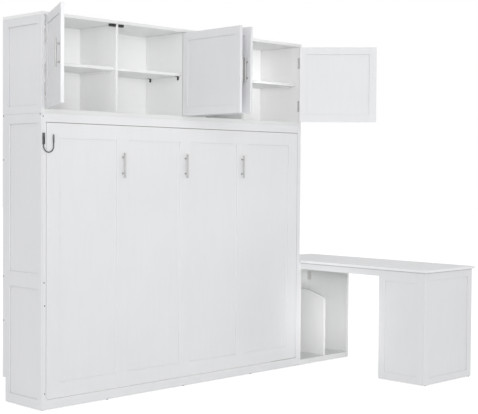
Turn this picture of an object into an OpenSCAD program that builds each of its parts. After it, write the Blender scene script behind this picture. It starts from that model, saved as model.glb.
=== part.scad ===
// Horizontal wall bed, folded up, with an overhead cupboard and a side desk.
// Origin: the foot of the middle glide, on the floor under the bottom rail.
// +X runs to the right, +Y to the wall, +Z up.  All sizes in millimetres.

/* [Bed unit] */
// Overall width of the bed unit
unit_w = 2200; // [2150:1:2300]
// Overall height, to the top of the top board
unit_h = 2275; // [2240:1:2350]
// Depth, front plane to wall
unit_d = 394; // [385:1:430]
// Height of the joint between the lower and upper carcass
lower_h = 1700; // [1690:1:1730]
// Thickness of the plain board inside each side
side_board_t = 24; // [18:0.5:26]
// Thickness of the plain board inside each side of the cupboard
up_board_t = 12; // [10:0.5:18]
// Thickness of the framing laid on each side board
side_frame_t = 8; // [6:0.5:10]
// Height of the header rail over the bed face
header_h = 49.5; // [44:0.5:54]
// Top of the bottom rail
sill_h = 60; // [54:0.5:62]
// Thickness of the bottom and header rails
rail_t = 22; // [18:0.5:24]
// Height of the glides under the carcass
glide_h = 4; // [3:0.5:6]
// Thickness of the board over the top
top_t = 18; // [16:0.5:25]
// Thickness of the cupboard floor
floor_t = 25.5; // [22:0.5:28]
// Thickness of the cupboard back
back_t = 18; // [12:0.5:20]
// Thickness of shelves, dividers and desk boards
board_t = 18; // [16:0.5:19]

/* [Side framing] */
// Width of the back stile on the lower sides
low_back_w = 70; // [60:1:80]
// Width of the front stile on all sides
side_front_w = 40; // [35:1:50]
// Width of the back stile on the upper sides
up_back_w = 56; // [46:1:66]
// Underside of the middle rail on the lower sides
mid_rail_z = 695; // [670:1:720]
// Height of the middle rail on the lower sides
mid_rail_h = 88; // [70:1:100]
// Height of the other side rails
side_rail_h = 51; // [44:1:56]
// Depth of the skirting notch at the back
notch_d = 29; // [20:1:34]
// Height of the skirting notch at the back
notch_h = 146; // [120:1:150]

/* [Bed face] */
// Gap round the bed face and the doors
gap = 3; // [2.5:0.1:3.5]
// Thickness of the bed face framing
face_t = 22; // [20:0.5:25]
// Width of the stiles and rails of the bed face
face_stile_w = 90; // [80:1:100]
// Depth of the recess in front of each bed face panel
face_recess = 7; // [5:0.5:8]
// Thickness of each bed face panel
face_panel_t = 12; // [9:0.5:12]
// Height of the bed pivot over the floor
pivot_z = 210; // [205:1:220]
// Distance of the bed pivot behind the front plane
pivot_back = 38; // [37:0.5:40]
// Radius of the torsion bar the bed turns on
pivot_r = 9; // [8:0.5:9.5]
// Radial running clearance of shafts and pins
run_c = 0.05; // [0.03:0.01:0.08]

/* [Bed frame] */
// Room between the bed frame and each side
frame_room = 28; // [27:0.5:32]
// Thickness of the bed frame boards
frame_t = 20; // [18:0.5:25]
// Depth of the bed frame boards
frame_d = 100; // [90:1:110]
// Width of each slat
slat_w = 70; // [60:1:80]
// Thickness of each slat
slat_t = 14; // [12:0.5:18]
// Distance of the leg pivot under the top of the bed face
leg_down = 147.5; // [143:0.5:155]
// Width of the leg bar
leg_bar = 22; // [20:0.5:22]

/* [Cupboard doors] */
// Thickness of a door
door_t = 19; // [18:0.5:20]
// Width of the stiles and rails of a door
door_stile_w = 50; // [45:1:60]
// Thickness of the panel in a door
door_panel_t = 9; // [7:0.5:10]
// Opening angle of the far left door
open_1 = 117; // [100:0.5:120]
// Opening angle of the second door
open_2 = 87.5; // [80:0.5:87.5]
// Opening angle of the third door
open_3 = 86.5; // [80:0.5:86.5]
// Opening angle of the far right door
open_4 = 130.5; // [115:0.5:132]
// Height of the shelf underside over the floor
shelf_z = 1981; // [1950:1:2020]
// Height of one butt hinge
hinge_h = 76; // [66:1:80]
// Distance of a hinge centre from the end of its door
hinge_in = 110; // [95:1:125]
// Radius of a hinge knuckle
knuckle_r = 2.75; // [2.5:0.05:2.8]
// Radius of a hinge pin
pin_r = 1.25; // [1:0.05:1.4]

/* [Handles] */
// Length of each bar handle
bar_len = 150; // [130:1:170]
// Spacing of the posts of a handle
bar_pitch = 96; // [88:1:110]
// Radius of the bar of a handle
bar_r = 6; // [5:0.25:6]
// How far a handle stands out
bar_out = 28; // [25:0.5:29]

/* [Desk] */
// Right edge of the desk top from the bed unit
desk_w = 567; // [540:1:600]
// Length of the desk top out from the wall
desk_len = 1476; // [1440:1:1550]
// Height of the desk top
desk_h = 750; // [740:1:770]
// Thickness of the desk top
desk_t = 17; // [16:0.5:22]
// Height of the apron under the desk edge
apron_h = 45; // [35:1:60]
// Length of the end cabinet along the wall side
cab_len = 373; // [355:1:390]
// Board thickness of the end cabinet front and rear
cab_t = 12; // [11:0.5:14]
// Underside of the shelf in the end cabinet
cab_shelf_z = 380; // [300:1:450]
// How far the desk top oversails its cabinet in front
cab_over = 14; // [10:1:20]
// Height of the top rail in the side of the end cabinet
cab_head = 72; // [60:1:80]
// Top of the bottom rail in the side of the end cabinet
cab_sill = 52; // [44:1:60]
// Top of the plinth rail of the base unit
base_sill = 22; // [20:1:40]

/* [Hidden] */
side_t = side_board_t + side_frame_t;
in_x = unit_w / 2 - side_t;
out_x = unit_w / 2;
up_in_x = out_x - side_frame_t - up_board_t;
front_y = -rail_t / 2;
wall_y = front_y + unit_d;
up_h = unit_h - top_t;
header_z = lower_h - header_h;
cup_z = lower_h + floor_t;
notch_y = wall_y - notch_d;
lap = 8;
// slip fit of a loose panel or board in its seat
seat = 0.2;
// width and depth of a visible joint line
joint_w = 0.8;
// bed face
face_x = in_x - gap + 0.5;
face_z0 = sill_h + gap;
face_z1 = header_z - gap;
face_h = face_z1 - face_z0;
face_pitch = (2 * face_x - face_stile_w) / 4;
face_back_y = front_y + face_t;
pivot_y = front_y + pivot_back;
plate_t = 8;
bush_r = pivot_r + 4;
sill_relief = 4;
// bed frame behind the face
rail_x = in_x - frame_room;
rail_z0 = face_z0 + 12;
rail_z1 = face_z1 - 16;
bed_back_y = face_back_y + frame_d;
batten_t = 32;
batten_h = 60;
slat_n = 13;
slat_pitch = (2 * (rail_x - frame_t) - 120) / (slat_n - 1);
// folding leg
leg_t = 12;
leg_x = rail_x + 4;
leg_y = face_back_y + 27;
leg_z = face_z1 - leg_down;
leg_foot_r = 11;
leg_crank = leg_down + 8 + leg_bar / 2;
leg_drop = leg_y - pivot_y + pivot_z - leg_foot_r;
stud_r = 6;
// doors
leaf_t = 1.2;
knuckle_y = knuckle_r + 0.45;
door_z0 = cup_z + gap + 0.5;
door_z1 = up_h - gap - 3;
door_h = door_z1 - door_z0;
door_w = (2 * up_in_x - 5 * gap - 1) / 4;
door_pitch = up_in_x / 2;
outer_x = up_in_x - gap / 2;
twin_x = knuckle_r + 0.45 + leaf_t / 2;
divider_y = front_y + 22;
shelf_y = front_y + 34;
barrel_n = 24;
glide_x = 0.28 * unit_w;
// desk
desk_x0 = out_x + 8;
desk_x1 = out_x + desk_w;
desk_y0 = wall_y - desk_len;
under_z = desk_h - desk_t;
base_x1 = desk_x1 - 16;
cab_x0 = desk_x0 + 8;
cab_x1 = desk_x1 - 13;
cab_y0 = desk_y0 + cab_over;
cab_y1 = cab_y0 + cab_len;
cab_rail_h = 40;
cab_in_x = cab_x0 + door_t;
cab_in_y = cab_y0 + cab_t;
base_top = base_sill + board_t;
// wall fixings
fix_x = 800;
fix_z0 = 210;
fix_z1 = lower_h - 50;
fix_r = 4;

white = [0.93, 0.93, 0.91];
dark = [0.12, 0.12, 0.13];
nickel = [0.66, 0.65, 0.62];
steel = [0.45, 0.46, 0.48];
pine = [0.82, 0.68, 0.48];

// ---- helpers ----

module box(x0, x1, y0, y1, z0, z1) {
    translate([x0, y0, z0])
        cube([x1 - x0, y1 - y0, z1 - z0]);
}

// cylinders along X, Y and Z from a starting point
module rod_x(x0, x1, y, z, r) {
    translate([x0, y, z])
        rotate([0, 90, 0])
            cylinder(h = x1 - x0, r = r, $fn = 48);
}

module rod_y(x, y0, y1, z, r) {
    translate([x, y1, z])
        rotate([90, 0, 0])
            cylinder(h = y1 - y0, r = r, $fn = 24);
}

module rod_z(x, y, z0, z1, r) {
    translate([x, y, z0])
        cylinder(h = z1 - z0, r = r, $fn = 24);
}

module both_sides() {
    children();
    mirror([1, 0, 0])
        children();
}

// upright bar handle on a face at y = 0, standing out to -Y
module bar_handle() {
    rod_z(0, -bar_out + bar_r, -bar_len / 2, bar_len / 2, bar_r);
    rod_y(0, -bar_out + bar_r, 0, -bar_pitch / 2, bar_r * 0.8);
    rod_y(0, -bar_out + bar_r, 0, bar_pitch / 2, bar_r * 0.8);
}

// ---- sides ----

module side_board(x0, z0, z1, notch) {
    difference() {
        box(x0, out_x - side_frame_t, front_y, wall_y, z0, z1);
        if (notch)
            box(x0 - 1, out_x + 1, notch_y, wall_y + 1, z0 - 1, notch_h);
    }
}

// pockets for the hinge leaves in the upper sides
module upper_board() {
    difference() {
        side_board(up_in_x, lower_h, up_h, false);
        for (z = hinge_zs())
            box(up_in_x - 1, up_in_x + leaf_t, front_y - 1, front_y + 16,
                z - hinge_h / 2, z + hinge_h / 2);
    }
}

module lower_frame() {
    difference() {
        box(in_x + side_board_t, out_x, front_y, wall_y, glide_h, lower_h);
        box(in_x + side_board_t - 1, out_x + 1, front_y + side_front_w,
            wall_y - low_back_w, sill_h, mid_rail_z);
        box(in_x + side_board_t - 1, out_x + 1, front_y + side_front_w,
            wall_y - low_back_w, mid_rail_z + mid_rail_h, lower_h - side_rail_h - 4);
        box(in_x, out_x + 1, notch_y, wall_y + 1, 0, notch_h);
    }
}

module upper_frame() {
    difference() {
        box(in_x + side_board_t, out_x, front_y, wall_y, lower_h + 0.3, up_h);
        box(in_x + side_board_t - 1, out_x + 1, front_y + side_front_w,
            wall_y - up_back_w, lower_h + side_rail_h - 4, up_h - side_rail_h + 3);
    }
}

function hinge_zs() = [door_z0 + hinge_in, door_z1 - hinge_in];

module lower_side_left() {
    color(white)
        mirror([1, 0, 0])
            side_board(in_x, glide_h, lower_h, true);
}

module lower_side_right() {
    color(white)
        side_board(in_x, glide_h, lower_h, true);
}

module upper_side_left() {
    color(white)
        mirror([1, 0, 0])
            upper_board();
}

module upper_side_right() {
    color(white)
        upper_board();
}

module side_frames() {
    color(white)
        both_sides() {
            lower_frame();
            upper_frame();
        }
}

// ---- carcass boards ----

module bottom_rail() {
    color(white)
        difference() {
            box(-in_x, in_x, front_y, front_y + rail_t, glide_h, sill_h);
            // room for the foot of the bed face as it turns
            box(-in_x - 1, in_x + 1, front_y + 8, front_y + rail_t + 1,
                sill_h - sill_relief, sill_h + 1);
        }
}

module header_rail() {
    color(white)
        box(-in_x, in_x, front_y, front_y + rail_t, header_z, lower_h);
}

module wall_rails() {
    color(white)
        difference() {
            union() {
                box(-in_x, in_x, wall_y - rail_t, wall_y, fix_z0 - 50, fix_z0 + 50);
                box(-in_x, in_x, wall_y - rail_t, wall_y, fix_z1 - 50, lower_h);
            }
            for (x = [-fix_x, fix_x], z = [fix_z0, fix_z1])
                rod_y(x, wall_y - rail_t - 1, wall_y + 1, z, fix_r);
        }
}

module cabinet_floor() {
    color(white)
        box(-up_in_x, up_in_x, front_y, wall_y, lower_h, cup_z);
}

module top_board() {
    color(white)
        box(-out_x, out_x, front_y, wall_y, up_h, unit_h);
}

module cabinet_back() {
    color(white)
        box(-up_in_x, up_in_x, wall_y - back_t, wall_y, cup_z, up_h);
}

module divider(x) {
    box(x - board_t / 2, x + board_t / 2, divider_y, wall_y - back_t, cup_z, up_h);
}

module dividers() {
    color(white) {
        divider(-door_pitch);
        divider(door_pitch);
        difference() {
            divider(0);
            for (z = hinge_zs())
                box(-leaf_t / 2, leaf_t / 2, divider_y - 1, divider_y + 8,
                    z - hinge_h / 2, z + hinge_h / 2);
        }
    }
}

// left and right faces of each compartment
bay = [[-up_in_x, -door_pitch - board_t / 2], [-door_pitch + board_t / 2, -board_t / 2],
       [board_t / 2, door_pitch - board_t / 2], [door_pitch + board_t / 2, up_in_x]];

module shelves() {
    color(white)
        for (b = bay)
            box(b[0] + 0.3, b[1] - 0.3, shelf_y, wall_y - back_t - 0.3,
                shelf_z, shelf_z + board_t);
}

module shelf_cleat(x0) {
    box(x0, x0 + 10, shelf_y + 40, wall_y - back_t - 10, shelf_z - 10, shelf_z);
}

module shelf_cleats() {
    color(white)
        both_sides() {
            shelf_cleat(-up_in_x);
            shelf_cleat(-door_pitch - board_t / 2 - 10);
            shelf_cleat(-door_pitch + board_t / 2);
        }
}

// a folded angle, one leg on the middle divider and one under the shelf
module shelf_angle() {
    box(0, 2.5, -8, 8, shelf_z - 24, shelf_z);
    box(0, 18, -8, 8, shelf_z - 2.5, shelf_z);
}

module shelf_brackets() {
    color(dark)
        both_sides()
            for (y = [shelf_y + 30, wall_y - back_t - 41])
                translate([board_t / 2, y, 0])
                    shelf_angle();
}

module catch_block() {
    difference() {
        box(0, 42, front_y + door_t + 1, front_y + door_t + 22, up_h - 15, up_h);
        box(5, 37, front_y + door_t, front_y + door_t + 4, up_h - 11, up_h - 4.5);
    }
}

module door_catches() {
    color(dark)
        both_sides() {
            translate([door_pitch + board_t / 2, 0, 0])
                catch_block();
            translate([door_pitch - board_t / 2, 0, 0])
                mirror([1, 0, 0])
                    catch_block();
        }
}

module cover_caps() {
    color(dark) {
        for (z = [485, 747, 1435, lower_h - 6])
            rod_x(-out_x - 0.8, -out_x, wall_y - 10, z, 3.5);
        for (z = [1435, lower_h - 6])
            rod_x(out_x, out_x + 0.8, wall_y - 10, z, 3.5);
        rod_x(-out_x - 0.8, -out_x, front_y + 13, lower_h - 6, 3.5);
        rod_x(out_x, out_x + 0.8, front_y + 13, lower_h - 6, 3.5);
        for (p = [[11, lower_h - 17], [18, 734], [23, 602], [24, 97]])
            rod_y(-out_x + p[0], front_y - 0.8, front_y, p[1], 3.5);
    }
}

module glide_at(x, y, r) {
    rod_z(x, y, 0, glide_h, r);
}

module glides() {
    color(dark) {
        for (x = [-glide_x, 0, glide_x])
            glide_at(x, 0, 9);
        both_sides()
            for (y = [front_y + 20, notch_y - 20])
                glide_at(in_x + side_board_t / 2, y, 9);
        for (x = [out_x + board_t / 2, base_x1 - board_t / 2], y = [front_y + 20, notch_y - 20])
            glide_at(x, y, 8);
        for (x = [cab_x0 + 20, cab_x1 - 20], y = [cab_y0 + cab_t / 2, cab_y1 - cab_t / 2])
            glide_at(x, y, 5);
    }
}

// ---- hinges ----

// one butt hinge about the Z axis at the origin; the leaf lies at x0 and reaches
// back to y1, with its own knuckles between the z values listed
module barrel(spans) {
    for (s = spans)
        translate([0, 0, s[0]])
            cylinder(h = s[1] - s[0], r = knuckle_r, $fn = barrel_n);
}

function outer_spans() = [[-hinge_h / 2, -hinge_h / 6 - 0.2],
                          [hinge_h / 6 + 0.2, hinge_h / 2]];
function inner_spans() = [[-hinge_h / 6 + 0.2, hinge_h / 6 - 0.2]];

// leaf fixed to a side panel, pin included
module post_leaf() {
    barrel(outer_spans());
    cylinder(h = hinge_h, r = pin_r, center = true, $fn = barrel_n);
    for (s = outer_spans())
        box(-gap / 2 - leaf_t, -gap / 2, 0, knuckle_y + 2, s[0], s[1]);
    box(-gap / 2 - leaf_t, -gap / 2, knuckle_y + 1, knuckle_y + 16,
        -hinge_h / 2, hinge_h / 2);
}

// shared leaf in the edge of the middle divider, right half
module twin_leaf_half() {
    translate([twin_x, 0, 0]) {
        barrel(outer_spans());
        cylinder(h = hinge_h, r = pin_r, center = true, $fn = barrel_n);
    }
    for (s = outer_spans())
        box(-0.01, twin_x, -knuckle_r, -knuckle_r + leaf_t, s[0], s[1]);
    box(-0.01, leaf_t / 2, -knuckle_r, divider_y + 8 - front_y + knuckle_y,
        -hinge_h / 2, hinge_h / 2);
}

// leaf on the edge of a door whose edge lies at x = edge
module door_leaf(edge) {
    difference() {
        union() {
            barrel(inner_spans());
            for (s = inner_spans())
                box(edge, edge + leaf_t, 0, knuckle_y + 2, s[0], s[1]);
            box(edge, edge + leaf_t, knuckle_y + 1, knuckle_y + 16,
                -hinge_h / 2, hinge_h / 2);
        }
        cylinder(h = hinge_h + 2, r = pin_r + run_c, center = true, $fn = barrel_n);
    }
}

module hinge_leaves() {
    color(steel) {
        for (z = hinge_zs()) {
            both_sides()
                translate([-outer_x, front_y - knuckle_y, z])
                    post_leaf();
            translate([0, front_y - knuckle_y, z])
                both_sides()
                    twin_leaf_half();
        }
    }
}

// ---- doors ----

// framed door: hinge edge at x = 0, front at y = 0, foot at z = 0
module door_wood(w, h, zs) {
    inner_y = (door_t - door_panel_t) / 2;
    difference() {
        cube([w, door_t, h]);
        translate([door_stile_w, -1, door_stile_w])
            cube([w - 2 * door_stile_w, door_t + 2, h - 2 * door_stile_w]);
        translate([door_stile_w - lap, inner_y, door_stile_w - lap])
            cube([w - 2 * door_stile_w + 2 * lap, door_panel_t,
                  h - 2 * door_stile_w + 2 * lap]);
        for (z = zs)
            translate([-1, -1, z - hinge_h / 2])
                cube([1 + leaf_t, 17, hinge_h]);
    }
    translate([door_stile_w - lap + 0.3, inner_y + seat, door_stile_w - lap + 0.3])
        cube([w - 2 * door_stile_w + 2 * lap - 0.6, door_panel_t - 2 * seat,
              h - 2 * door_stile_w + 2 * lap - 0.6]);
}

// places a left-hung door: pivot at px, door edge at px + edge, opened by a
module hang(px, a) {
    translate([px, front_y - knuckle_y, 0])
        rotate([0, 0, -a])
            children();
}

module cup_door(edge) {
    translate([edge, knuckle_y, door_z0])
        door_wood(door_w, door_h, [hinge_in, door_h - hinge_in]);
}

module cup_handle(edge) {
    translate([edge + door_w - door_stile_w / 2, knuckle_y, (door_z0 + door_z1) / 2])
        bar_handle();
}

module cup_hinges(edge) {
    for (z = hinge_zs())
        translate([0, 0, z])
            door_leaf(edge);
}

edge_out = gap / 2;
edge_twin = gap / 2 - twin_x;

module door_1() {
    color(white)
        hang(-outer_x, open_1)
            cup_door(edge_out);
}

module door_1_handle() {
    color(nickel)
        hang(-outer_x, open_1)
            cup_handle(edge_out);
}

module door_1_hinges() {
    color(steel)
        hang(-outer_x, open_1)
            cup_hinges(edge_out);
}

module door_2() {
    color(white)
        mirror([1, 0, 0])
            hang(twin_x, open_2)
                cup_door(edge_twin);
}

module door_2_handle() {
    color(nickel)
        mirror([1, 0, 0])
            hang(twin_x, open_2)
                cup_handle(edge_twin);
}

module door_2_hinges() {
    color(steel)
        mirror([1, 0, 0])
            hang(twin_x, open_2)
                cup_hinges(edge_twin);
}

module door_3() {
    color(white)
        hang(twin_x, open_3)
            cup_door(edge_twin);
}

module door_3_handle() {
    color(nickel)
        hang(twin_x, open_3)
            cup_handle(edge_twin);
}

module door_3_hinges() {
    color(steel)
        hang(twin_x, open_3)
            cup_hinges(edge_twin);
}

module door_4() {
    color(white)
        mirror([1, 0, 0])
            hang(-outer_x, open_4)
                cup_door(edge_out);
}

module door_4_handle() {
    color(nickel)
        mirror([1, 0, 0])
            hang(-outer_x, open_4)
                cup_handle(edge_out);
}

module door_4_hinges() {
    color(steel)
        mirror([1, 0, 0])
            hang(-outer_x, open_4)
                cup_hinges(edge_out);
}

// ---- bed ----

function mull_x(i) = -face_x + i * face_pitch;

module bed_face_frame() {
    win_w = face_pitch - face_stile_w;
    win_h = face_h - 2 * face_stile_w + 2;
    color(white)
        difference() {
            box(-face_x, face_x, front_y, face_back_y, face_z0, face_z1);
            for (i = [0 : 3])
                translate([mull_x(i) + face_stile_w, front_y, face_z0 + face_stile_w]) {
                    translate([0, -1, 0])
                        cube([win_w, face_t + 2, win_h]);
                    translate([-lap, face_recess, -lap])
                        cube([win_w + 2 * lap, face_t, win_h + 2 * lap]);
                }
        }
}

module bed_face_panels() {
    win_w = face_pitch - face_stile_w;
    win_h = face_h - 2 * face_stile_w + 2;
    color(white)
        for (i = [0 : 3])
            translate([mull_x(i) + face_stile_w - lap + 0.3, front_y + face_recess,
                       face_z0 + face_stile_w - lap + 0.3])
                cube([win_w + 2 * lap - 0.6, face_panel_t, win_h + 2 * lap - 0.6]);
}

module bed_handles() {
    color(nickel)
        for (i = [1 : 3])
            translate([mull_x(i) + face_stile_w / 2, front_y, face_z1 - 238.5])
                bar_handle();
}

module bed_rails() {
    color(pine) {
        both_sides()
            difference() {
                box(rail_x - frame_t, rail_x, face_back_y, bed_back_y, rail_z0, rail_z1);
                rod_x(rail_x - frame_t - 1, rail_x + 1, pivot_y, pivot_z, bush_r);
                rod_x(rail_x - frame_t - 1, rail_x + 1, leg_y, leg_z, stud_r);
            }
    }
}

module bed_battens() {
    bx = rail_x - frame_t - 0.3;
    color(pine) {
        for (k = [0.25, 0.5, 0.75])
            translate([-bx, face_back_y, face_z0 + k * face_h - batten_h / 2])
                cube([2 * bx, batten_t, batten_h]);
        box(-bx, bx, face_back_y, bed_back_y, rail_z0, rail_z0 + frame_t);
        box(-bx, bx, face_back_y, bed_back_y, rail_z1 - frame_t, rail_z1);
    }
}

module bed_slats() {
    color(pine)
        for (i = [0 : slat_n - 1])
            translate([(i - (slat_n - 1) / 2) * slat_pitch - slat_w / 2,
                       face_back_y + batten_t, rail_z0 + frame_t])
                cube([slat_w, slat_t, rail_z1 - rail_z0 - 2 * frame_t]);
}

// plates on the sides that hold the torsion bar, clear of the turning face
module bed_pivot_plates() {
    color(steel)
        both_sides()
            difference() {
                hull() {
                    rod_x(in_x - plate_t, in_x, pivot_y, pivot_z, 15);
                    box(in_x - plate_t, in_x, pivot_y - 12, pivot_y + 80,
                        pivot_z + 40, pivot_z + 95);
                }
                rod_x(in_x - plate_t - 1, in_x - 0.6, pivot_y, pivot_z, pivot_r);
                for (y = [pivot_y + 6, pivot_y + 62])
                    rod_x(in_x - plate_t - 1, in_x - plate_t + 4, y, pivot_z + 75, 5);
            }
}

module torsion_bar() {
    color(steel)
        rod_x(-in_x + 0.6, in_x - 0.6, pivot_y, pivot_z, pivot_r);
}

module torsion_springs() {
    color(dark)
        both_sides()
            difference() {
                rod_x(rail_x - frame_t - 420, rail_x - frame_t - 6, pivot_y, pivot_z, bush_r);
                rod_x(rail_x - frame_t - 421, rail_x - frame_t - 5, pivot_y, pivot_z,
                      pivot_r + 0.2);
            }
}

// bearing bushes pressed in the bed rails, with an outside flange
module bed_bushes() {
    color(steel)
        both_sides()
            difference() {
                union() {
                    rod_x(rail_x - frame_t, rail_x + 1, pivot_y, pivot_z, bush_r);
                    box(rail_x, rail_x + 5, face_back_y, pivot_y + 30,
                        pivot_z - 35, pivot_z + 35);
                }
                rod_x(rail_x - frame_t - 1, rail_x + 6, pivot_y, pivot_z, pivot_r + run_c);
            }
}

// studs the folding leg turns on, with a head outside the leg
module leg_studs() {
    color(steel)
        both_sides() {
            rod_x(rail_x - frame_t, leg_x + leg_t + 1.5, leg_y, leg_z, stud_r);
            rod_x(leg_x + leg_t + 0.5, leg_x + leg_t + 2.5, leg_y, leg_z, stud_r + 3);
            rod_x(rail_x, leg_x - 0.5, leg_y, leg_z, stud_r + 3);
        }
}

module bed_leg() {
    color(dark)
        difference() {
            union() {
                both_sides() {
                    box(leg_x, leg_x + leg_t, leg_y - leg_bar / 2, leg_y + leg_bar / 2,
                        leg_z - leg_crank - leg_bar / 2, leg_z);
                    rod_x(leg_x, leg_x + leg_t, leg_y, leg_z, leg_bar / 2);
                    box(leg_x, leg_x + leg_t, leg_y, leg_y + leg_drop,
                        leg_z - leg_crank - leg_bar / 2, leg_z - leg_crank + leg_bar / 2);
                }
                rod_x(-leg_x - leg_t, leg_x + leg_t, leg_y + leg_drop,
                      leg_z - leg_crank, leg_foot_r);
            }
            both_sides()
                rod_x(leg_x - 1, leg_x + leg_t + 1, leg_y, leg_z, stud_r + run_c);
        }
}

// ---- tether ----

module tether_clip() {
    // open to the front so the end of the cord can swing out
    color(dark)
        translate([clip_x, front_y, 0])
            difference() {
                box(-6, 6, -9.5, 0, 1523, 1588.5);
                box(-cord_r - 0.4, cord_r + 0.4, -10.5, cord_y + cord_r + 0.4, 1522, 1566);
            }
}

cord_r = 2.75;
cord_y = -5;
clip_x = -out_x + 11.5;
ferrule_x = -out_x + 80;
cord_bow = (ferrule_x - clip_x) / 2;
cord_z = 1476 + cord_r + cord_bow;

module tether_cord() {
    color(dark)
        translate([0, front_y + cord_y, 0]) {
            rod_z(clip_x, 0, cord_z, 1560, cord_r);
            rod_z(ferrule_x, 0, cord_z, 1540, cord_r);
            translate([(clip_x + ferrule_x) / 2, 0, cord_z])
                rotate([-90, 0, 0])
                    rotate_extrude(angle = 180, $fn = 48)
                        translate([cord_bow, 0])
                            circle(r = cord_r, $fn = 24);
        }
}

module tether_ferrule() {
    color(dark)
        translate([ferrule_x, front_y, 0])
            difference() {
                union() {
                    rod_z(0, cord_y, 1533.5, 1580, 4.5);
                    box(-3, 3, cord_y, 0, 1548, 1574);
                }
                rod_z(0, cord_y, 1532, 1540, cord_r);
            }
}

// ---- desk ----

module desk_top() {
    color(white)
        box(desk_x0, desk_x1, desk_y0, wall_y, under_z, desk_h);
}

module desk_apron() {
    color(white)
        box(cab_x0, cab_x0 + board_t, cab_y1, front_y, under_z - apron_h, under_z);
}

module desk_panels() {
    color(white)
        for (x = [out_x, base_x1 - board_t])
            difference() {
                box(x, x + board_t, front_y, wall_y, glide_h, under_z);
                box(x - 1, x + board_t + 1, notch_y, wall_y + 1, 0, notch_h);
            }
}

mid_x = out_x + desk_w / 2 - 3.5;
mid_top = 0.68 * desk_h;

// middle panel with its top swept down to a rounded front corner
module desk_panel_mid() {
    y0 = front_y + 9;
    y1 = wall_y - board_t;
    color(white)
        hull() {
            box(mid_x, mid_x + board_t, y0, y1, base_top, mid_top - 90);
            rod_x(mid_x, mid_x + board_t, y0 + 30, mid_top - 68, 30);
            box(mid_x, mid_x + board_t, y0 + 149, y1, base_top, mid_top);
        }
}

module desk_back() {
    color(white)
        box(out_x + board_t, base_x1 - board_t, wall_y - board_t, wall_y,
            notch_h, under_z);
}

// plinth rail and, as a separate board on it, the floor of the base unit
module desk_base() {
    color(white) {
        box(out_x + board_t, base_x1 - board_t, front_y, front_y + board_t,
            glide_h, base_sill - seat);
        box(out_x + board_t, base_x1 - board_t, front_y, wall_y - notch_d,
            base_sill, base_top);
    }
}

// angle in the back corner of the base unit
module desk_bracket() {
    bx = base_x1 - board_t;
    by = wall_y - board_t;
    color(steel) {
        box(bx - 2.5, bx, by - 20, by, 555, 615);
        box(bx - 20, bx, by - 2.5, by, 555, 615);
    }
}

// ---- end cabinet ----

module cab_front_wood() {
        difference() {
            box(cab_x0, cab_x1, cab_y0, cab_y0 + cab_t, glide_h, under_z);
            translate([cab_x0 + door_stile_w, cab_y0, sill_h - 12]) {
                translate([0, -1, 0])
                    cube([cab_x1 - cab_x0 - 2 * door_stile_w, cab_t + 2,
                          under_z - sill_h + 12 - door_stile_w]);
                translate([-lap, 5, -lap])
                    cube([cab_x1 - cab_x0 - 2 * door_stile_w + 2 * lap, cab_t,
                          under_z - sill_h + 12 - door_stile_w + 2 * lap]);
            }
        }
}

module cab_front() {
    color(white) {
        cab_front_wood();
        translate([cab_x0 + door_stile_w - lap + 0.3, cab_y0 + 5 + seat,
                   sill_h - 12 - lap + 0.3])
            cube([cab_x1 - cab_x0 - 2 * door_stile_w + 2 * lap - 0.6, cab_t - 5 - seat,
                  under_z - sill_h + 12 - door_stile_w + 2 * lap - 0.6]);
    }
}

// framed side beside the knee space; its panel lies in a rebate from inside
module cab_side() {
    y0 = cab_in_y + door_stile_w;
    y1 = cab_y1 - door_stile_w;
    z1 = under_z - cab_head;
    color(white) {
        difference() {
            box(cab_x0, cab_in_x, cab_in_y, cab_y1, glide_h, under_z);
            box(cab_x0 - 1, cab_in_x + 1, y0, y1, cab_sill, z1);
            box(cab_x0 + 5, cab_in_x + 1, y0 - lap, y1 + lap, cab_sill - lap, z1 + lap);
            // fine joints where the rails meet the front stile
            box(cab_x0 - 1, cab_x0 + joint_w, y0 - joint_w, y0, glide_h - 1, cab_sill + 1);
            box(cab_x0 - 1, cab_x0 + joint_w, y0 - joint_w, y0, z1 - 1, under_z + 1);
        }
        box(cab_x0 + 5 + seat, cab_in_x, y0 - lap + 0.3, y1 + lap - 0.3,
            cab_sill - lap + 0.3, z1 + lap - 0.3);
    }
}

module cab_rear() {
    color(white)
        box(cab_in_x, cab_x1, cab_y1 - cab_t, cab_y1, glide_h, under_z);
}

// the cabinet is open on its right, to the seat
module cab_floor() {
    color(white)
        box(cab_in_x, cab_x1, cab_in_y, cab_y1 - cab_t, sill_h - 18, sill_h);
}

module cab_shelf() {
    color(white)
        box(cab_in_x, cab_x1 - 20, cab_in_y, cab_y1 - cab_t,
            cab_shelf_z, cab_shelf_z + board_t);
}

module cab_rail() {
    color(white)
        box(cab_x1 - board_t, cab_x1, cab_in_y, cab_y1 - cab_t,
            under_z - cab_rail_h, under_z);
}

// pale caps over the fittings of the end cabinet and the base unit
module fitting_caps() {
    color(white) {
        for (z = [144, 557])
            rod_x(cab_x0 - 0.8, cab_x0, cab_y0 + 25, z, 7);
        rod_x(base_x1 - board_t - 0.8, base_x1 - board_t, 4, 601, 7);
    }
}

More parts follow.
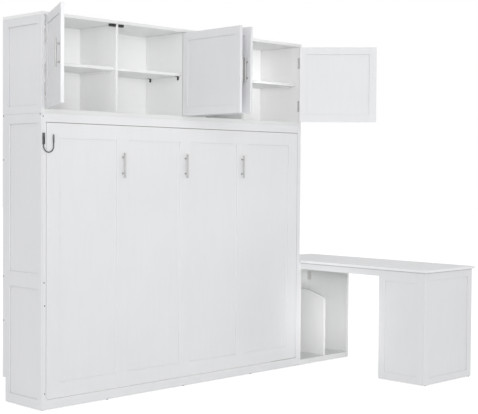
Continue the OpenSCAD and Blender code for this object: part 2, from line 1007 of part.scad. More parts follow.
lower_side_left();
lower_side_right();
upper_side_left();
upper_side_right();
side_frames();
bottom_rail();
header_rail();
wall_rails();
cabinet_floor();
top_board();
cabinet_back();
dividers();
shelves();
shelf_cleats();
shelf_brackets();
door_catches();
cover_caps();
glides();
hinge_leaves();
bed_pivot_plates();
torsion_bar();
torsion_springs();
tether_clip();
desk_top();
desk_apron();
desk_panels();
desk_panel_mid();
desk_back();
desk_base();
desk_bracket();
cab_front();
cab_side();
cab_rear();
cab_floor();
cab_shelf();
cab_rail();
fitting_caps();
bed_face_frame();
bed_face_panels();
bed_handles();
bed_rails();
bed_battens();
bed_slats();
bed_bushes();
leg_studs();
tether_cord();
tether_ferrule();
bed_leg();
door_1();
door_1_handle();
door_1_hinges();
door_2();
door_2_handle();
door_2_hinges();
door_3();
door_3_handle();
door_3_hinges();
door_4();
door_4_handle();
door_4_hinges();
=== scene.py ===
import math

import bmesh
import bpy
from mathutils import Matrix, Vector


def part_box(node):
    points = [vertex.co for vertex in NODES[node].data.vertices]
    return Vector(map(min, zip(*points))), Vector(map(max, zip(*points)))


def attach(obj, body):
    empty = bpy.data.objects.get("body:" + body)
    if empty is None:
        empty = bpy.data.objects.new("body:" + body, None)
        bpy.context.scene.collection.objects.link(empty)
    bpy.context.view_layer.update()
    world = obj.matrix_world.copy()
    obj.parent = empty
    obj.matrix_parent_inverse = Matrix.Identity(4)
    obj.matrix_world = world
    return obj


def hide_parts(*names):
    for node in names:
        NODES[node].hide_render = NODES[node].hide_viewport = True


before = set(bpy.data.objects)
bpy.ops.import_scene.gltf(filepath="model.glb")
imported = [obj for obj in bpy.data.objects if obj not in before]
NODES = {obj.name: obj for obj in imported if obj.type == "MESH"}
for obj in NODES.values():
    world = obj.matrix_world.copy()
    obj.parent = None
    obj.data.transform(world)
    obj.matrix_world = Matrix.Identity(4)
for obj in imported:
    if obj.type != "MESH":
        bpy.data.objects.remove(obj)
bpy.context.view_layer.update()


def add(name, data):
    """A new object of this data, linked to the scene."""
    obj = bpy.data.objects.new(name, data)
    bpy.context.scene.collection.objects.link(obj)
    return obj


# ---------------------------------------------------------------- camera

FRONT_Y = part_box("header_rail")[0][1]
CAM_POS = Vector((-4.7445, FRONT_Y - 5.2155, 1.3732))
YAW, PITCH, ROLL = (math.radians(a) for a in (45.0885, -1.8094, 0.4089))
FOCAL_PX, FRAME_W, SENSOR_MM = 1104.70, 478, 36.0

cam_data = bpy.data.cameras.new("camera")
cam_data.sensor_fit = "HORIZONTAL"
cam_data.sensor_width = SENSOR_MM
cam_data.lens = SENSOR_MM * FOCAL_PX / FRAME_W
cam_data.clip_end = 100.0
camera = add("camera", cam_data)
forward = Vector((math.sin(YAW) * math.cos(PITCH), math.cos(YAW) * math.cos(PITCH),
                  math.sin(PITCH)))
level_right = Vector((math.cos(YAW), -math.sin(YAW), 0.0))
level_up = level_right.cross(forward)
right = math.cos(ROLL) * level_right + math.sin(ROLL) * level_up
up = -math.sin(ROLL) * level_right + math.cos(ROLL) * level_up
turn = Matrix((right, up, -forward)).transposed()
camera.matrix_world = Matrix.Translation(CAM_POS) @ turn.to_4x4()
bpy.context.scene.camera = camera
bpy.context.scene.view_settings.view_transform = "Standard"

# ---------------------------------------------------------------- tether cord

CORD_R, CORD_BOW, CORD_Y, CORD_LENGTH = 0.00275, 0.03425, FRONT_Y - 0.005, 0.1816
CLIP_X, FERRULE_X, BOW_Z, BOW_STEPS = -1.0885, -1.020, 1.513, 24
# heights of the straight ends, down from the ferrule and up into the clip
FERRULE_ZS = (1.540, 1.533, 1.526, 1.519)
CLIP_ZS = (1.522, 1.531, 1.541, 1.550, 1.560)


def tube(name, points, radius, resolution):
    """A round mesh tube along one open line through the points."""
    data = bpy.data.curves.new(name, "CURVE")
    data.dimensions = "3D"
    data.bevel_depth = radius
    data.bevel_resolution = resolution
    data.use_fill_caps = True
    spline = data.splines.new("POLY")
    spline.points.add(len(points) - 1)
    for pt, co in zip(spline.points, points):
        pt.co = (*co, 1.0)
    draft = add(name + "_line", data)
    bpy.context.view_layer.update()
    seen = draft.evaluated_get(bpy.context.evaluated_depsgraph_get())
    mesh = bpy.data.meshes.new_from_object(seen)
    bpy.data.objects.remove(draft)
    bpy.data.curves.remove(data)
    for f in mesh.polygons:
        f.use_smooth = len(f.vertices) == 4
    return add(name, mesh)


mid_cord = (CLIP_X + FERRULE_X) / 2
route = [(FERRULE_X, CORD_Y, z) for z in FERRULE_ZS]
for k in range(BOW_STEPS + 1):
    a = math.pi * k / BOW_STEPS
    route.append((mid_cord + CORD_BOW * math.cos(a), CORD_Y, BOW_Z - CORD_BOW * math.sin(a)))
route += [(CLIP_X, CORD_Y, z) for z in CLIP_ZS]
tether = tube("tether_rope", route, CORD_R, 7)
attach(tether, "bed")
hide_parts("tether_cord")

# ---------------------------------------------------------------- node helpers


def rgb(r, g, b):
    return (r, g, b, 1.0)


class Nodes:
    """Short calls for the nodes of one tree."""

    def __init__(self, tree):
        self.nt = tree
        tree.nodes.clear()

    def node(self, kind, **values):
        n = self.nt.nodes.new(kind)
        for k, v in values.items():
            setattr(n, k, v)
        return n

    def link(self, a, b):
        self.nt.links.new(a, b)

    def math(self, op, a, b):
        m = self.node("ShaderNodeMath", operation=op)
        for i, v in enumerate((a, b)):
            if isinstance(v, (int, float)):
                m.inputs[i].default_value = v
            else:
                self.link(v, m.inputs[i])
        return m.outputs[0]

    def weighted(self, a, share_a, b, share_b):
        return self.math("ADD", self.math("MULTIPLY", a, share_a),
                         self.math("MULTIPLY", b, share_b))

    def shader(self, kind, strength=None, colour=rgb(1, 1, 1)):
        n = self.node(kind)
        n.inputs["Color"].default_value = colour
        if strength is not None:
            n.inputs["Strength"].default_value = strength
        return n.outputs[0]

    def by_ray(self, lit, shown):
        """Gives shown to the rays that show the surroundings, and lit to all others."""
        path = self.node("ShaderNodeLightPath")
        seen = self.math("MAXIMUM", path.outputs["Is Camera Ray"], path.outputs["Is Glossy Ray"])
        seen = self.math("MAXIMUM", seen, path.outputs["Is Transmission Ray"])
        mix = self.node("ShaderNodeMixShader")
        self.link(seen, mix.inputs["Fac"])
        self.link(lit, mix.inputs[1])
        self.link(shown, mix.inputs[2])
        return mix.outputs[0]


class Mat(Nodes):
    """A material with one Principled shader."""

    def __init__(self, name):
        self.mat = bpy.data.materials.new(name)
        self.mat.use_nodes = True
        super().__init__(self.mat.node_tree)
        self.out = self.node("ShaderNodeOutputMaterial")
        self.bsdf = self.node("ShaderNodeBsdfPrincipled")
        self.link(self.bsdf.outputs[0], self.out.inputs["Surface"])

    def coords(self, scale=(1, 1, 1), rotation=(0, 0, 0)):
        tc = self.node("ShaderNodeTexCoord")
        mp = self.node("ShaderNodeMapping")
        mp.inputs["Scale"].default_value = scale
        mp.inputs["Rotation"].default_value = rotation
        self.link(tc.outputs["Object"], mp.inputs["Vector"])
        return mp.outputs["Vector"]

    def coords_along(self, along, across_scale, along_scale):
        """Coordinates drawn out along one axis."""
        scale = [across_scale] * 3
        scale[along] = along_scale
        return self.coords(scale=tuple(scale))

    def axis(self, output, index):
        """One object-space axis of the place (Object) or the face's direction (Normal)."""
        tc = self.node("ShaderNodeTexCoord")
        sep = self.node("ShaderNodeSeparateXYZ")
        self.link(tc.outputs[output], sep.inputs[0])
        return sep.outputs[index]

    def noise(self, vec, scale, detail=3.0, rough=0.55, distort=0.0):
        n = self.node("ShaderNodeTexNoise")
        n.inputs["Scale"].default_value = scale
        n.inputs["Detail"].default_value = detail
        n.inputs["Roughness"].default_value = rough
        n.inputs["Distortion"].default_value = distort
        self.link(vec, n.inputs["Vector"])
        return n.outputs["Fac"]

    def ramp(self, fac, stops):
        r = self.node("ShaderNodeValToRGB")
        els = r.color_ramp.elements
        els[0].position, els[0].color = stops[0]
        els[1].position, els[1].color = stops[-1]
        for pos, col in stops[1:-1]:
            els.new(pos).color = col
        self.link(fac, r.inputs["Fac"])
        return r.outputs["Color"]

    def rng(self, fac, a, b, lo=0.3, hi=0.7):
        m = self.node("ShaderNodeMapRange")
        m.inputs["From Min"].default_value = lo
        m.inputs["From Max"].default_value = hi
        m.inputs["To Min"].default_value = a
        m.inputs["To Max"].default_value = b
        self.link(fac, m.inputs["Value"])
        return m.outputs["Result"]

    def mixed(self, a, b, share=None, blend="MIX"):
        mix = self.node("ShaderNodeMix", data_type="RGBA", blend_type=blend)
        mix.inputs["Factor"].default_value = 1.0
        if share is not None:
            self.link(share, mix.inputs["Factor"])
        self.link(a, mix.inputs["A"])
        self.link(b, mix.inputs["B"])
        return mix.outputs["Result"]

    def times(self, colour, shade):
        return self.mixed(colour, shade, blend="MULTIPLY")

    def paint_crevice_shade(self, colour, dark):
        """Painted shade: darkens the colour where another face is close, as in a joint or a rebate.
        """
        ao = self.node("ShaderNodeAmbientOcclusion", samples=8)
        ao.inputs["Distance"].default_value = CREVICE_SHADE_REACH
        return self.times(colour, self.rng(ao.outputs["AO"], dark, 1.0, 0.35, 0.85))

    def bump(self, height, strength, distance, under=None):
        b = self.node("ShaderNodeBump")
        b.inputs["Strength"].default_value = strength
        b.inputs["Distance"].default_value = distance
        self.link(height, b.inputs["Height"])
        if under is not None:
            self.link(under, b.inputs["Normal"])
        return b.outputs["Normal"]

    def set(self, **values):
        for k, v in values.items():
            s = self.bsdf.inputs[k.replace("_", " ")]
            if hasattr(v, "is_output"):
                self.link(v, s)
            else:
                s.default_value = v
        return self.mat


# ---------------------------------------------------------------- materials

WHITE, WHITE_IN_PAINTED_LIGHT, WHITE_BASE = 0.80, 0.92, 0.84  # carcass; inside the cupboard, lighter than the carcass as painted light; base unit
COOL_SHIFT = 0.006       # the lacquer has a little less red than green
WARM = 0.996             # blue against green on the inner boards
CREVICE_SHADE_REACH = 0.010
UP_IN_X = 1.080          # inner faces of the cupboard's side boards
SIDE_SKIN = 0.0005
DESK_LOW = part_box("desk_top")[0][2]
SHADOW_LINE_SHADE, SHADOW_LINE_TOP, SHADOW_LINE_FOOT = 0.72, 0.005, 0.008  # painted shadow line just under the desk top's overhang
# the axis a face looks along, and the tone of the faces across it and along it
SHADED_FRONT_EDGES = (1, 1.0, 0.82)  # painted shade: faces that look along Y, the front edges among them, are darker
# painted highlight: the upright faces of the desk top, its rim, are lighter
PAINTED_EDGE_HIGHLIGHT = (2, 1.13, 1.0)
X, Y, Z = 0, 1, 2


def white_lacquer(name, base, blue, stretch, crevice_shade=0.90, painted_shadow_z=None, edge=None, inner=None):
    """Sprayed satin lacquer: faint orange peel, soft mottling, slightly uneven gloss; where asked
    also painted shade in crevices, a painted shadow line under the desk top, painted shade or
    highlight by face direction, and a lighter painted tone on inner side faces.
    """
    m = Mat(name)
    v = m.coords()
    vs = m.coords(scale=stretch)
    cloud = m.noise(v, 2.2)
    fine = m.noise(vs, 38.0, 4.0)
    tone = m.weighted(cloud, 0.65, fine, 0.35)
    lo, hi = (rgb(base * red, base * (red + COOL_SHIFT), base * (red + COOL_SHIFT) * blue)
              for red in (0.968, 1.008))
    col = m.ramp(tone, [(0.32, lo), (0.68, hi)])
    # painted light: the inner faces of the side boards take the lighter inside tone
    if inner:
        side = m.rng(m.math("ABSOLUTE", m.axis("Object", X), 0.0), 1.0, 0.0, inner, inner + 0.001)
        low_in, high_in = (rgb(t, t, t * WARM) for t in (WHITE_IN_PAINTED_LIGHT * 0.97, WHITE_IN_PAINTED_LIGHT * 1.01))
        col = m.mixed(col, m.ramp(tone, [(0.32, low_in), (0.68, high_in)]), side)
    # painted shade where another face is close
    if crevice_shade < 1.0:
        col = m.paint_crevice_shade(col, crevice_shade)
    # painted shadow: a darker band just under the desk top
    if painted_shadow_z:
        height = m.axis("Object", Z)
        col = m.times(col, m.rng(height, 1.0, SHADOW_LINE_SHADE, painted_shadow_z - SHADOW_LINE_FOOT, painted_shadow_z - SHADOW_LINE_TOP))
    # painted shade or painted highlight by the direction a face looks
    if edge:
        axis, across, along = edge
        turned = m.math("ABSOLUTE", m.axis("Normal", axis), 0.0)
        col = m.times(col, m.rng(turned, across, along, 0.4, 0.6))
    peel = m.noise(v, 420.0, 2.0)
    fibre = m.noise(vs, 110.0)
    nrm = m.bump(fibre, 0.05, 0.0006)
    nrm = m.bump(peel, 0.10, 0.00035, nrm)
    return m.set(Base_Color=col, Roughness=m.rng(m.noise(v, 9.0), 0.36, 0.47),
                 Specular_IOR_Level=0.42, Coat_Weight=0.10, Coat_Roughness=0.30, Normal=nrm)


def timber(name, along):
    """Planed softwood: growth rings drawn out along the board, pores and darker streaks."""
    m = Mat(name)
    v = m.coords_along(along, 9.0, 0.55)
    warp = m.noise(v, 1.4, 4.0, 0.6, 0.6)
    ring = m.node("ShaderNodeTexWave", wave_type="RINGS", rings_direction="XYZ"[along])
    ring.inputs["Scale"].default_value = 0.9
    ring.inputs["Distortion"].default_value = 7.0
    ring.inputs["Detail"].default_value = 3.0
    ring.inputs["Detail Scale"].default_value = 1.2
    m.link(v, ring.inputs["Vector"])
    fibre = m.noise(m.coords_along(along, 260.0, 5.0), 1.0, 4.0, 0.6)
    tone = m.math("ADD", m.math("MULTIPLY", ring.outputs["Fac"], 0.45),
                  m.weighted(warp, 0.35, fibre, 0.25))
    col = m.ramp(tone, [(0.22, rgb(0.60, 0.42, 0.23)), (0.48, rgb(0.72, 0.55, 0.34)),
                        (0.80, rgb(0.82, 0.68, 0.46))])
    relief = m.math("ADD", fibre, m.math("MULTIPLY", ring.outputs["Fac"], 0.4))
    return m.set(Base_Color=col, Roughness=m.rng(fibre, 0.52, 0.70), Specular_IOR_Level=0.35,
                 Normal=m.bump(relief, 0.22, 0.0006))


def brushed(name, dark, light, along, rough, metal=1.0):
    """Brushed metal: hair lines along one axis with faint handling marks."""
    m = Mat(name)
    hair = m.noise(m.coords_along(along, 900.0, 14.0), 1.0, 4.0, 0.65)
    smear = m.noise(m.coords(), 26.0)
    tone = m.weighted(hair, 0.6, smear, 0.4)
    col = m.ramp(tone, [(0.34, rgb(*dark)), (0.66, rgb(*light))])
    return m.set(Base_Color=col, Metallic=metal, Roughness=m.rng(tone, *rough),
                 Normal=m.bump(hair, 0.16, 0.00025))


def coated(name, base, rough, grain, height=0.00022):
    """Powder coat or moulded plastic: fine pebble grain, dust and rubbed patches."""
    m = Mat(name)
    v = m.coords()
    vor = m.node("ShaderNodeTexVoronoi", feature="SMOOTH_F1")
    vor.inputs["Scale"].default_value = grain
    m.link(v, vor.inputs["Vector"])
    dust = m.noise(v, 34.0, 5.0, 0.65)
    fine = m.noise(v, 240.0, 2.0)
    tone = m.weighted(dust, 0.7, fine, 0.3)
    col = m.ramp(tone, [(0.36, rgb(*(c * 0.82 for c in base))), (0.56, rgb(*base)),
                        (0.74, rgb(*(min(1, c * 1.5 + 0.006) for c in base)))])
    return m.set(Base_Color=col, Roughness=m.rng(tone, rough - 0.07, rough + 0.10),
                 Specular_IOR_Level=0.45, Normal=m.bump(vor.outputs["Distance"], 0.35, height))


def braid(name):
    """Braided cord: two sets of crossed strands from waves at right angles."""
    m = Mat(name)
    waves = []
    for lean in (math.radians(45), -math.radians(45)):
        w = m.node("ShaderNodeTexWave", wave_type="BANDS", bands_direction="X")
        w.inputs["Scale"].default_value = 190.0
        w.inputs["Distortion"].default_value = 0.6
        m.link(m.coords(rotation=(0.0, lean, lean)), w.inputs["Vector"])
        waves.append(w.outputs["Fac"])
    fuzz = m.noise(m.coords(), 900.0)
    tone = m.weighted(m.math("MAXIMUM", *waves), 0.7, fuzz, 0.3)
    col = m.ramp(tone, [(0.2, rgb(0.010, 0.010, 0.011)), (0.9, rgb(0.060, 0.060, 0.063))])
    return m.set(Base_Color=col, Roughness=0.82, Specular_IOR_Level=0.25, Sheen_Weight=0.25,
                 Normal=m.bump(tone, 0.7, 0.0005))


# end of the material's name, base, blue, stretch of the fine mottling, other settings
LACQUERS = {
    "white": ("", WHITE, 1.022, (1, 1, 0.12), dict(crevice_shade=0.84)),
    "white_side": ("_sides", WHITE, 1.022, (1, 1, 0.12), dict(crevice_shade=0.84, inner=UP_IN_X + SIDE_SKIN)),
    "white_x": ("_boards", WHITE, 1.014, (0.12, 1, 1), {}),
    "white_bed": ("_bed", WHITE, 1.012, (1, 1, 0.10), dict(crevice_shade=1.0)),
    "white_panel": ("_panels", WHITE, 1.012, (1, 1, 0.10), dict(crevice_shade=1.0)),
    "white_desk": ("_desk", WHITE, 1.016, (1, 0.10, 1), dict(edge=PAINTED_EDGE_HIGHLIGHT)),
    "white_apron": ("_apron", WHITE, 1.016, (1, 0.10, 1), dict(painted_shadow_z=DESK_LOW)),
    "white_cab": ("_cabinet", WHITE, 1.018, (1, 1, 0.12), dict(painted_shadow_z=DESK_LOW)),
    "white_in": ("_inside", WHITE_IN_PAINTED_LIGHT, WARM, (1, 1, 0.14), dict(crevice_shade=0.88, edge=SHADED_FRONT_EDGES)),
    "white_in_x": ("_shelves", WHITE_IN_PAINTED_LIGHT, WARM, (0.12, 1, 1), dict(crevice_shade=0.88, edge=SHADED_FRONT_EDGES)),
    "white_back": ("_back", WHITE_IN_PAINTED_LIGHT, WARM, (0.12, 1, 1), dict(crevice_shade=0.88)),
    "white_base": ("_base", WHITE_BASE, WARM, (1, 1, 0.14), dict(crevice_shade=0.88)),
}
MAT = {key: white_lacquer("white_lacquer" + end, base, blue, stretch, **more)
       for key, (end, base, blue, stretch, more) in LACQUERS.items()}
MAT.update({
    "timber_x": timber("timber_along_x", X),
    "timber_z": timber("timber_along_z", Z),
    "nickel": brushed("brushed_nickel", (0.44, 0.44, 0.435), (0.56, 0.56, 0.55), Z,
                      (0.40, 0.50), 0.7),
    "hinge": brushed("hinge_steel", (0.52, 0.52, 0.51), (0.68, 0.68, 0.67), Z,
                     (0.42, 0.54), 0.45),
    "dark": brushed("dark_nickel", (0.11, 0.11, 0.113), (0.20, 0.20, 0.205), Z, (0.32, 0.44)),
    "zinc": brushed("zinc_steel", (0.42, 0.43, 0.45), (0.56, 0.57, 0.58), Y,
                    (0.36, 0.48), 0.7),
    "angle": brushed("dull_zinc", (0.60, 0.60, 0.59), (0.72, 0.72, 0.71), Y,
                     (0.46, 0.56), 0.1),
    "black_steel": coated("black_powder_coat", (0.030, 0.030, 0.032), 0.46, 700.0),
    "black_plastic": coated("black_plastic", (0.034, 0.034, 0.036), 0.52, 1100.0, 0.00012),
    "cord": braid("braided_cord"),
})

EVERY_DOOR = range(1, 5)
DOOR_HANDLES = " ".join(f"door_{i}_handle" for i in EVERY_DOOR)
DOOR_HINGES = " ".join(f"door_{i}_hinges" for i in EVERY_DOOR)
# the nodes of each look; all others are plain white
LOOKS = {
    "white_side": "upper_side_left upper_side_right",
    "white_x": "bottom_rail header_rail wall_rails",
    "white_in_x": "cabinet_floor top_board shelves cab_floor cab_shelf",
    "white_back": "cabinet_back",
    "white_in": "dividers shelf_cleats",
    "white_desk": "desk_top",
    "white_apron": "desk_apron cab_rail",
    "white_cab": "cab_front cab_side cab_rear",
    "white_base": "desk_panels desk_panel_mid desk_base desk_back",
    "white_bed": "bed_face_frame",
    "white_panel": "bed_face_panels",
    "timber_x": "bed_battens",
    "timber_z": "bed_rails bed_slats",
    "nickel": "bed_handles " + DOOR_HANDLES,
    "hinge": "hinge_leaves " + DOOR_HINGES,
    "dark": "tether_clip tether_ferrule",
    "zinc": "bed_pivot_plates torsion_bar bed_bushes leg_studs",
    "angle": "desk_bracket",
    "black_steel": "shelf_brackets torsion_springs bed_leg",
    "black_plastic": "door_catches cover_caps glides",
    "cord": "tether_cord",
}
LOOK = {node: look for look, nodes in LOOKS.items() for node in nodes.split()}
for name, obj in NODES.items():
    obj.data.materials.clear()
    obj.data.materials.append(MAT[LOOK.get(name, "white")])
tether.data.materials.append(MAT["cord"])

# ---------------------------------------------------------------- edges of the solids

# radius of the rounded edges in metres, and the nodes that have it; all others have ARRIS
ARRIS = 0.0011
EDGES = {
    0.0003: "cover_caps fitting_caps hinge_leaves " + DOOR_HINGES,
    0.0005: "tether_ferrule shelf_brackets desk_bracket bed_bushes",
    0.0006: "tether_clip leg_studs torsion_bar",
    0.0008: "bed_pivot_plates glides",
    0.0009: "bed_handles " + DOOR_HANDLES,
    0.0012: "door_catches bed_leg",
    0.0018: "bed_battens bed_rails desk_top",
    0.0020: "bed_slats",
}
REPLACED = ("tether_cord", "torsion_springs")
RADIUS = {node: radius for radius, nodes in EDGES.items() for node in nodes.split()}


def soften(obj, width):
    """Weld the imported corners and round every hard edge by a small radius."""
    w = obj.modifiers.new("weld", "WELD")
    w.merge_threshold = 0.00002
    b = obj.modifiers.new("arris", "BEVEL")
    b.width = width
    b.segments = 2
    b.limit_method = "ANGLE"
    b.angle_limit = math.radians(35)
    b.harden_normals = True
    b.use_clamp_overlap = True


for name, obj in NODES.items():
    if name not in REPLACED:
        soften(obj, RADIUS.get(name, ARRIS))

# ---------------------------------------------------------------- small fittings


def lathe(bm, profile, steps):
    """Turns (radius, height) pairs round +Z into faces of bm; the last ring is returned."""
    rings = []
    for r, h in profile:
        rings.append([bm.verts.new((r * math.cos(2 * math.pi * k / steps),
                                    r * math.sin(2 * math.pi * k / steps), h))
                      for k in range(steps)])
    for lo, hi in zip(rings, rings[1:]):
        for k in range(steps):
            n = (k + 1) % steps
            bm.faces.new((lo[k], lo[n], hi[n], hi[k]))
    bm.faces.new(list(reversed(rings[0])))
    return rings[-1]


def recess(bm, ring, outline, mouth, floor_z, narrowing):
    """Closes a ring by a cap with a recess of the outline in it."""
    top = [bm.verts.new((x, y, mouth)) for x, y in outline]
    low = [bm.verts.new((x * narrowing, y * narrowing, floor_z)) for x, y in outline]
    edges = []
    for loop in (ring, top):
        for a, b in zip(loop, loop[1:] + loop[:1]):
            edges.append(bm.edges.get((a, b)) or bm.edges.new((a, b)))
    bmesh.ops.triangle_fill(bm, use_beauty=True, edges=edges)
    for k in range(len(outline)):
        n = (k + 1) % len(outline)
        bm.faces.new((top[k], top[n], low[n], low[k]))
    bm.faces.new(low)


def cross_screw(bm, r):
    """Raised countersunk head with a cross recess, standing on z = 0."""
    ring = lathe(bm, [(r, -0.0001), (r, 0.0), (r * 0.93, r * 0.13), (r * 0.72, r * 0.24)], 20)
    w, l, h, d = r * 0.13, r * 0.50, r * 0.24, r * 0.42
    cross = [(l, -w), (l, w), (w, w), (w, l), (-w, l), (-w, w), (-l, w), (-l, -w),
             (-w, -w), (-w, -l), (w, -l), (w, -w)]
    recess(bm, ring, cross, h, h - d, 0.62)


def hex_socket(bm, r):
    """Cylinder-head screw with a hexagon socket."""
    ring = lathe(bm, [(r, -0.001), (r, r * 0.40), (r * 0.90, r * 0.52)], 24)
    hexagon = [(r * 0.5 * math.cos(math.pi * k / 3), r * 0.5 * math.sin(math.pi * k / 3))
               for k in range(6)]
    recess(bm, ring, hexagon, r * 0.52, r * 0.05, 1.0)


def collar(bm, r):
    """Low turned ring at the foot of a handle post."""
    bm.faces.new(lathe(bm, [(r, 0.0), (r, r * 0.20), (r * 0.94, r * 0.30), (r * 0.84, r * 0.34)],
                       24))


def fittings(name, items, body, key):
    """One object of many small fittings; each item is (maker, size, place, way, turn)."""
    bm = bmesh.new()
    for maker, size, place, way, turn in items:
        first = len(bm.verts)
        maker(bm, size)
        bm.verts.ensure_lookup_table()
        m = Matrix.Translation(place) @ Vector(way).to_track_quat("Z", "Y").to_matrix().to_4x4()
        m = m @ Matrix.Rotation(math.radians(turn), 4, "Z")
        bmesh.ops.transform(bm, matrix=m, verts=bm.verts[first:])
    bmesh.ops.recalc_face_normals(bm, faces=bm.faces)
    mesh = bpy.data.meshes.new(name)
    bm.to_mesh(mesh)
    bm.free()
    obj = add(name, mesh)
    mesh.materials.append(MAT[key])
    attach(obj, body)


# doors: local frame with the hinge edge at x = edge and the front at y = KNUCKLE_Y
KNUCKLE_Y, DOOR_T, DOOR_W, BAR_IN = 0.0032, 0.019, 0.536, 0.025
DOOR_Z0, DOOR_Z1, HINGE_IN, BAR_PITCH = 1.729, 2.251, 0.110, 0.096
DOOR_MID_Z = (DOOR_Z0 + DOOR_Z1) / 2
HINGE_Z = (DOOR_Z0 + HINGE_IN, DOOR_Z1 - HINGE_IN)
LEAF_SCREW_R, LEAF_SCREW_Y, LEAF_SCREW_DZ = 0.0027, 0.0095, (-0.026, 0.0, 0.026)
CAP_R, COLLAR_R = 0.0060, 0.0064
POST_DZ = (-BAR_PITCH / 2, BAR_PITCH / 2)
# x of the pin, open angle, x of the hinge edge from the pin, hand
DOORS = {1: (-1.0785, 117.0, 0.0015, 1), 2: (0.0038, 87.5, -0.0023, -1),
         3: (0.0038, 86.5, -0.0023, 1), 4: (-1.0785, 130.5, 0.0015, -1)}
turns = iter(range(7, 100000, 37))  # no two screw slots stand alike
for i, (pin_x, angle, edge, hand) in DOORS.items():
    spin = (Matrix.Translation((pin_x, FRONT_Y - KNUCKLE_Y, 0))
            @ Matrix.Rotation(-math.radians(angle), 4, "Z"))
    place = Matrix.Diagonal((hand, 1, 1, 1)) @ spin

    def way(x, y):
        return place.to_3x3() @ Vector((x, y, 0))

    bar_x = edge + DOOR_W - BAR_IN
    leaf = [(cross_screw, LEAF_SCREW_R, place @ Vector((edge, KNUCKLE_Y + LEAF_SCREW_Y, z + dz)),
             way(-1, 0), next(turns)) for z in HINGE_Z for dz in LEAF_SCREW_DZ]
    fittings(f"door_{i}_hinge_screws", leaf, f"door_{i}", "hinge")
    back = [(collar, CAP_R, place @ Vector((bar_x, KNUCKLE_Y + DOOR_T, DOOR_MID_Z + dz)),
             way(0, 1), 0) for dz in POST_DZ]
    fittings(f"door_{i}_handle_caps", back, f"door_{i}", "white")
    feet = [(collar, COLLAR_R, place @ Vector((bar_x, KNUCKLE_Y, DOOR_MID_Z + dz)),
             way(0, -1), 0) for dz in POST_DZ]
    fittings(f"door_{i}_handle_collars", feet, f"door_{i}", "nickel")

side_leaf = [(cross_screw, LEAF_SCREW_R, (sx * UP_IN_X, FRONT_Y + LEAF_SCREW_Y, z + dz),
              (-sx, 0, 0), next(turns))
             for sx in (-1, 1) for z in HINGE_Z for dz in LEAF_SCREW_DZ]
fittings("side_hinge_screws", side_leaf, "carcass", "hinge")

handle_lo, handle_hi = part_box("bed_handles")
handle_z = (handle_lo[2] + handle_hi[2]) / 2
handle_dx = (handle_hi[0] - handle_lo[0]) / 2 - 0.006
bed_feet = [(collar, COLLAR_R, (x, FRONT_Y, handle_z + dz), (0, -1, 0), 0)
            for x in (-handle_dx, 0.0, handle_dx) for dz in POST_DZ]
fittings("bed_handle_collars", bed_feet, "bed", "nickel")

SHELF_Z = 1.981
angle_screws = [(cross_screw, 0.0024, (sx * 0.0115, y, SHELF_Z - 0.014), (sx, 0, 0),
                 next(turns)) for sx in (-1, 1) for y in (0.053, 0.324)]
fittings("shelf_bracket_screws", angle_screws, "carcass", "black_steel")

SLAT_PITCH, SLAT_BACK_Y, SLAT_FOOT_Z, SLAT_LENGTH = 0.160, 0.057, 0.063, 1.5845
slat_screws = [(cross_screw, 0.0036, (k * SLAT_PITCH, SLAT_BACK_Y, SLAT_FOOT_Z + f * SLAT_LENGTH),
                (0, 1, 0), next(turns)) for k in range(-6, 7) for f in (0.25, 0.5, 0.75)]
fittings("slat_screws", slat_screws, "bed", "zinc")

PLATE_X, PLATE_SCREW_Z = 1.0625, 0.285
plate_screws = [(hex_socket, 0.0046, (sx * PLATE_X, y, PLATE_SCREW_Z), (-sx, 0, 0), next(turns))
                for sx in (-1, 1) for y in (0.033, 0.089)]
fittings("pivot_plate_screws", plate_screws, "carcass", "zinc")

# two screws in each flange of the steel angle under the desk top
low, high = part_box("desk_bracket")
FLANGE_T, FLANGE_IN, FLANGE_DZ = 0.0025, 0.008, (0.012, 0.048)
bracket_screws = [(cross_screw, 0.0034, (high[0] - FLANGE_T, low[1] + FLANGE_IN, low[2] + dz),
                   (-1, 0, 0), next(turns)) for dz in FLANGE_DZ]
bracket_screws += [(cross_screw, 0.0034, (low[0] + FLANGE_IN, high[1] - FLANGE_T, low[2] + dz),
                    (0, -1, 0), next(turns)) for dz in FLANGE_DZ]
fittings("desk_bracket_screws", bracket_screws, "carcass", "angle")
clip_screw = (cross_screw, 0.0030, (CLIP_X, FRONT_Y - 0.0095, 1.578), (0, -1, 0), 20)
fittings("tether_clip_screw", [clip_screw], "carcass", "dark")

# close-wound torsion springs on the bar
SPRING_R, WIRE_R, TURNS, TURN_STEPS = 0.01105, 0.00175, 74, 14
SPRING_X0, SPRING_X1 = 0.6030, 1.0110
PIVOT_Y, PIVOT_Z = 0.027, 0.210
for side, sx in (("left", -1), ("right", 1)):
    coil = []
    for k in range(TURNS * TURN_STEPS + 1):
        a = 2 * math.pi * k / TURN_STEPS
        x = SPRING_X0 + (SPRING_X1 - SPRING_X0) * k / (TURNS * TURN_STEPS)
        coil.append((sx * x, PIVOT_Y + SPRING_R * math.cos(a), PIVOT_Z + SPRING_R * math.sin(a)))
    spring = tube(f"spring_coil_{side}", coil, WIRE_R, 3)
    spring.data.materials.append(MAT["black_steel"])
    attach(spring, "carcass")
    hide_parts("torsion_springs")

# ---------------------------------------------------------------- floor and surroundings

FLOOR_HALF, FLOOR_Z = 30.0, -0.0005
FLOOR_GLOW, FLOOR_BOUNCE = 0.70, 0.86    # shown as white, and what it sends back to the part
FILL, BACKGROUND = 0.62, 1.0

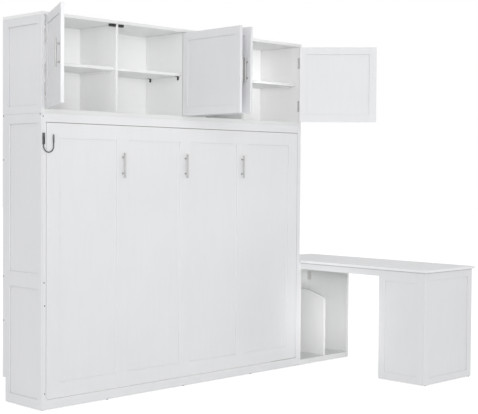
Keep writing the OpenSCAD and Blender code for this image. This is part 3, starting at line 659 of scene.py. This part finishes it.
floor_mat = Mat("floor")
floor_mat.set(Base_Color=floor_mat.ramp(floor_mat.noise(floor_mat.coords(), 0.7, 2.0),
                                        [(0.3, rgb(0.58, 0.58, 0.58)),
                                         (0.7, rgb(0.60, 0.60, 0.60))]),
              Roughness=0.9, Specular_IOR_Level=0.0)
shown = floor_mat.node("ShaderNodeAddShader")
floor_mat.link(floor_mat.bsdf.outputs[0], shown.inputs[0])
floor_mat.link(floor_mat.shader("ShaderNodeEmission", FLOOR_GLOW), shown.inputs[1])
bounce = floor_mat.shader("ShaderNodeBsdfDiffuse", colour=rgb(*[FLOOR_BOUNCE] * 3))
floor_mat.link(floor_mat.by_ray(bounce, shown.outputs[0]), floor_mat.out.inputs["Surface"])

bm = bmesh.new()
bmesh.ops.create_grid(bm, x_segments=1, y_segments=1, size=FLOOR_HALF)
floor_mesh = bpy.data.meshes.new("floor")
bm.to_mesh(floor_mesh)
bm.free()
floor = add("floor", floor_mesh)
floor.location = (0, 0, FLOOR_Z)
floor_mesh.materials.append(floor_mat.mat)

world = bpy.data.worlds.new("studio")
bpy.context.scene.world = world
world.use_nodes = True
sky = Nodes(world.node_tree)
sky_out = sky.node("ShaderNodeOutputWorld")
sky.link(sky.by_ray(sky.shader("ShaderNodeBackground", FILL),
                    sky.shader("ShaderNodeBackground", BACKGROUND)), sky_out.inputs["Surface"])

# ---------------------------------------------------------------- lamps


def pointed(name, data, direction):
    obj = add(name, data)
    obj.rotation_euler = Vector(direction).to_track_quat("-Z", "Y").to_euler()
    return obj


def sun(name, direction, strength, angle):
    data = bpy.data.lights.new(name, "SUN")
    data.energy = strength
    data.angle = math.radians(angle)
    data.use_shadow = True
    pointed(name, data, direction)


def strip(name, at, aim, size, power, spread):
    """A gridded soft box outside the picture that lights a narrow part of it."""
    data = bpy.data.lights.new(name, "AREA")
    data.shape = "RECTANGLE"
    data.size, data.size_y = size
    data.energy = power
    data.spread = math.radians(spread)
    obj = pointed(name, data, Vector(aim) - Vector(at))
    obj.location = at
    obj.visible_camera = False
    obj.visible_glossy = False


sun("key", (0.66, 0.74, -0.10), 0.54, 36)
sun("front", (0.10, 0.99, 0.02), 0.34, 14)
sun("top", (0.25, 0.30, -0.92), 0.22, 60)
sun("left", (0.95, 0.30, -0.05), 0.11, 50)
strip("near_camera", CAM_POS + Vector((0.10, 0.10, 0.35)), (0.45, 0.0, 1.1), (0.35, 0.35),
      10.0, 60)
strip("under_fill", (-0.35, -1.9, 0.30), (-0.3, 0.15, 2.15), (1.9, 0.40), 0.34, 26)
strip("cupboard_fill", (-1.75, -2.2, 2.00), (-0.50, 0.2, 2.08), (1.1, 0.40), 0.24, 14)
strip("bay_4_fill", (-0.35, -1.9, 1.95), (0.78, 0.2, 2.05), (0.40, 0.40), 0.30, 13)
strip("base_fill", (0.88, -0.78, 0.30), (1.56, 0.05, 0.22), (0.24, 0.40), 0.08, 26)
strip("base_left", (0.25, -1.5, 0.30), (1.42, 0.15, 0.38), (0.30, 0.50), 0.38, 26)
